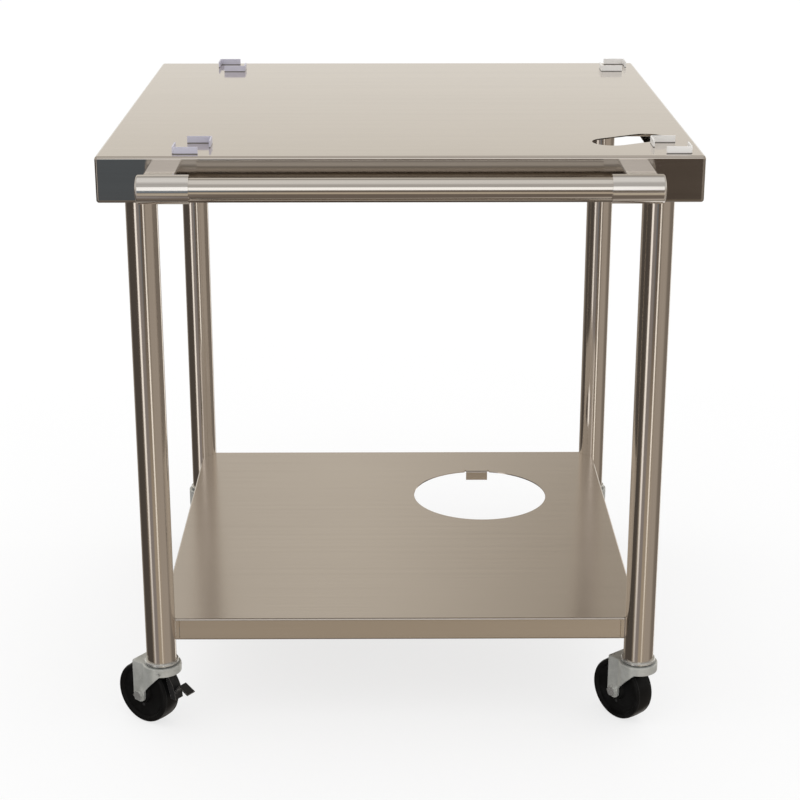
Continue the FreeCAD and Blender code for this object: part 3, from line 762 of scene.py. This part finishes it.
def weld_runs(feet, height, thick, pitch):
    """Upright runs of weld.

    A point is the foot of a run, plus the height times the way up, plus a small circle whose
    radius ripples as a cosine of the way up and closes to nothing at both ends.
    """
    way = np.linspace(-1, 1, 90)[None, :, None]
    section = full_turn(12)[None, None, :]
    ripple = 1 + 0.02 * np.cos(np.pi * height * way / pitch)
    swell = thick * ripple * np.sqrt(1 - way**8)
    x = feet[:, 0, None, None] + swell * np.cos(section)
    y = feet[:, 1, None, None] + swell * np.sin(section)
    z = feet[:, 2, None, None] + height * (1 + way) / 2 + 0 * section
    return np.stack(np.broadcast_arrays(x, y, z), axis=-1)


slit_from_leg = 5.5 * mm
run_thick = 1.1 * mm
run_inside = 2.0 * mm
run_over_lip = 2.2 * mm
run_under_top = 3.0 * mm
run_foot = shelf_low[2] + run_over_lip
run_height = shelf_high[2] - run_under_top - run_foot
from_leg = leg_radius + slit_from_leg
beside_x = leg_middles[:, :2] + inward * np.array((from_leg, run_inside))
beside_y = leg_middles[:, :2] + inward * np.array((run_inside, from_leg))
feet = np.concatenate([beside_x, beside_y])
feet = np.column_stack([feet, np.full(len(feet), run_foot)])
seam_grid = weld_runs(feet, run_height, run_thick, weld_pitch)
seam_welds = surface("seam_welds", seam_grid, close_columns=True)
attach(seam_welds, "cart")
print("seam welds", len(seam_grid), "runs,", len(seam_welds.data.polygons), "faces")

# %% [markdown]
# ## Spot welds on the channels
# Two hat channels stiffen the top from below, held by rows of spot welds: the electrode leaves a
# shallow round dent with a raised rim. Holes or screws would show on the clean top, which is why
# sheet-metal shops weld here.

# %% Rows of spot-weld marks


def spot_marks(spots, radius, height):
    """Round marks under a sheet: a raised rim round a flat dent.

    The rim's height is a bell curve of the way out, centred on rim_place and rim_width wide.
    """
    way_out = np.linspace(0, 1, 9)[None, :, None]
    turn = full_turn(24)[None, None, :]
    rim = height * np.exp(-(((way_out - rim_place) / rim_width) ** 2))
    x = spots[:, 0, None, None] + radius * way_out * np.cos(turn)
    y = spots[:, 1, None, None] + radius * way_out * np.sin(turn)
    z = spots[:, 2, None, None] - rim + 0 * turn
    return np.stack(np.broadcast_arrays(x, y, z), axis=-1)


rim_place = 0.62
rim_width = 0.16
mark_radius = 4.5 * mm
mark_height = 0.3 * mm
brim_middle = 10.0 * mm
row_margin = 40.0 * mm
marks_in_row = 9
skin = 0.05 * mm
rows = []
for channel in ("deck_channel_front", "deck_channel_rear"):
    low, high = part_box(channel)
    for y in (low[1] + brim_middle, high[1] - brim_middle):
        x = np.linspace(low[0] + row_margin, high[0] - row_margin, marks_in_row)
        brim_under = high[2] - sheet_thick - skin
        rows.append(np.stack([x, np.full_like(x, y), np.full_like(x, brim_under)], axis=-1))
spot_grid = spot_marks(np.concatenate(rows), mark_radius, mark_height)
spot_welds = surface("spot_welds", spot_grid, close_columns=True)
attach(spot_welds, "cart")
print("spot welds", len(spot_grid))

# %% [markdown]
# Welding heat leaves stainless straw-coloured, then blue and purple, where no one polishes it
# off. The tint is a thin oxide film, so it only changes the metal's colour, in soft patches.

# %% Finish of the welds


def tinted_weld(name):
    """Bare grey weld with straw-coloured patches, and purple in the middle of those."""
    material, paint = new_finish(name)
    place = paint.node("ShaderNodeTexCoord", output="Object")
    patches = place.noise((160.0, 160.0, 160.0), detail=3.0)
    scale = place.noise((1500.0, 1500.0, 1500.0), detail=2.0)
    straw = patches.between(0.35, 0.55).blend(weld_grey, weld_straw)
    shade(
        paint,
        base_color=patches.between(0.55, 0.72).blend(straw, weld_purple),
        metallic=1.0,
        roughness=0.30 + 0.25 * (scale - 0.5),
        normal=bumps(scale, scale_depth),
    )
    return material


weld_grey = (0.50, 0.50, 0.52, 1.0)
weld_straw = (0.62, 0.50, 0.33, 1.0)
weld_purple = (0.36, 0.33, 0.46, 1.0)
scale_depth = 0.04 * mm
weld_metal = tinted_weld("weld_metal")
welded = (welds, seam_welds, spot_welds)
for piece in welded:
    piece.data.materials.append(weld_metal)
print("weld finish on", len(welded), "pieces")

# %% [markdown]
# ## Close the lesson
